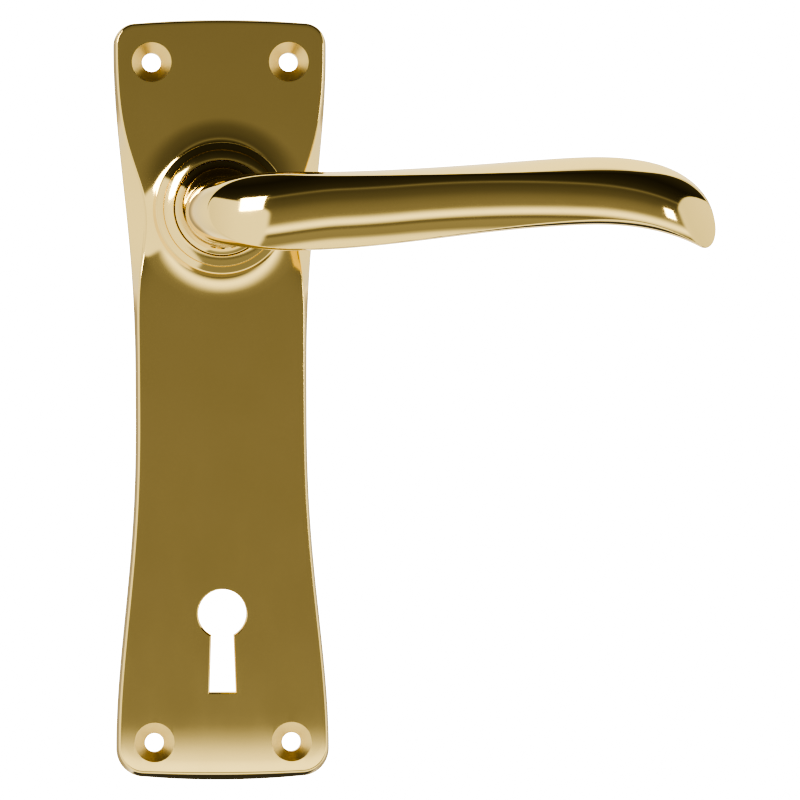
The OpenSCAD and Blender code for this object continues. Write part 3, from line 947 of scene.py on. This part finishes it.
def make_world():
    """A white studio with a dark opening in front, where the photographer stands."""
    world = bpy.data.worlds.new("studio")
    bpy.context.scene.world = world
    world.use_nodes = True
    nodes, links = world.node_tree.nodes, world.node_tree.links
    background = nodes["Background"]
    direction = nodes.new("ShaderNodeTexCoord").outputs["Generated"]
    split = nodes.new("ShaderNodeSeparateXYZ")
    links.new(direction, split.inputs["Vector"])
    x, y, z = split.outputs
    toward = math_node(nodes, links, "MULTIPLY", y, -1.0)
    up_angle = math_node(nodes, links, "ARCTAN2", z, toward)
    side_angle = math_node(nodes, links, "ARCSINE", x)

    ahead = tone_ramp(nodes, links, up_angle, STUDIO)
    off_side = math_node(nodes, links, "ABSOLUTE", side_angle)
    beside = tone_ramp(nodes, links, off_side, SIDE_TONES)
    to_left = math_node(nodes, links, "MULTIPLY", side_angle, -1.0)
    left = side_glow(nodes, links, to_left, up_angle, **LEFT_GLOW)
    right = side_glow(nodes, links, side_angle, up_angle, **RIGHT_GLOW)
    aside = math_node(nodes, links, "MAXIMUM", left, right)
    level = nodes.new("ShaderNodeMix")
    links.new(aside, level.inputs["Factor"])
    links.new(ahead, level.inputs["A"])
    links.new(beside, level.inputs["B"])
    off_up = math_node(nodes, links, "ABSOLUTE", up_angle)
    past_top = step_node(nodes, links, off_up, *(math.radians(a) for a in BACK_FROM))
    near_axis = step_node(nodes, links, off_side, *(math.radians(a) for a in BACK_WITHIN))
    behind = math_node(nodes, links, "MULTIPLY", past_top, near_axis)
    half_shade = tone_ramp(nodes, links, off_side, BACK_SHADE)
    shade = math_node(nodes, links, "POWER", half_shade, behind)
    shaded = math_node(nodes, links, "MULTIPLY", level.outputs["Result"], shade)
    seen = nodes.new("ShaderNodeLightPath").outputs["Is Camera Ray"]
    white = grey(5.0)
    tint = mix_colours(nodes, links, behind, (*DAYLIGHT, 1), (*BACK_TINT, 1))
    tinted = nodes.new("ShaderNodeVectorMath")
    tinted.operation = "SCALE"
    links.new(tint, tinted.inputs["Vector"])
    links.new(shaded, tinted.inputs["Scale"])
    shown = mix_colours(nodes, links, seen, tinted.outputs["Vector"], white)
    links.new(shown, background.inputs["Color"])
    background.inputs["Strength"].default_value = 1.0


def softbox(name, side, up, distance, size, glow):
    """A lamp of even glow aimed at the handle, placed by its side angle and up angle."""
    data = bpy.data.lights.new(name, "AREA")
    data.shape = "RECTANGLE"
    data.size, data.size_y = size
    data.energy = glow * math.pi * size[0] * size[1]
    lamp = bpy.data.objects.new(name, data)
    bpy.context.scene.collection.objects.link(lamp)
    a, e = math.radians(side), math.radians(up)
    way = Vector((math.sin(a), -math.cos(a) * math.cos(e), math.cos(a) * math.sin(e)))
    lamp.location = way * distance
    lamp.rotation_euler = (-way).to_track_quat("-Z", "Y").to_euler()
    lamp.visible_camera = False


def make_camera():
    """The photograph's view: almost square on, slightly from the left."""
    distance = 1.6
    picture = 0.158
    roll = math.radians(0.25)
    aim = Vector((0.0354, 0, -0.0377))
    place = Vector((-0.042, -distance, -0.042))
    data = bpy.data.cameras.new("camera")
    sensor = 36
    data.sensor_width = sensor
    data.lens = sensor * distance / picture
    data.clip_end = 50
    camera = bpy.data.objects.new("camera", data)
    bpy.context.scene.collection.objects.link(camera)
    camera.location = place
    facing = (aim - place).to_track_quat("-Z", "Y")
    camera.rotation_euler = (facing @ Quaternion((0, 0, 1), -roll)).to_euler()
    bpy.context.scene.camera = camera


make_backplate()
make_boss_ring()
make_lever()
make_spring()
for kept, finish, kept_slot, soften in (
        ("bearing_bush", nylon, "nylon", 0.15),
        ("thrust_washer", nylon, "nylon", 0.08),
        ("stop_pins", zinc_steel, "plated_steel", 0.15),
        ("spring_anchor_pin", zinc_steel, "plated_steel", 0.15),
        ("driver_plate", zinc_steel, "plated_steel", 0.12),
        ("wave_washer", spring_steel, "spring_steel", 0.05),
        ("circlip", black_steel, "spring_steel", 0.06),
        ("spindle", drawn_steel, "plated_steel", 0.4),
        ("grub_screw", black_steel, "plated_steel", 0.15)):
    dress(kept, finish, soften)

make_floor()
make_world()
softbox("key", side=-17, up=12, distance=1.5, size=(0.26, 0.32), glow=9)
softbox("side", side=27, up=2, distance=1.5, size=(0.12, 0.14), glow=9)
make_camera()
bpy.context.scene.view_settings.view_transform = "AgX"
bpy.context.scene.view_settings.look = "AgX - Very High Contrast"
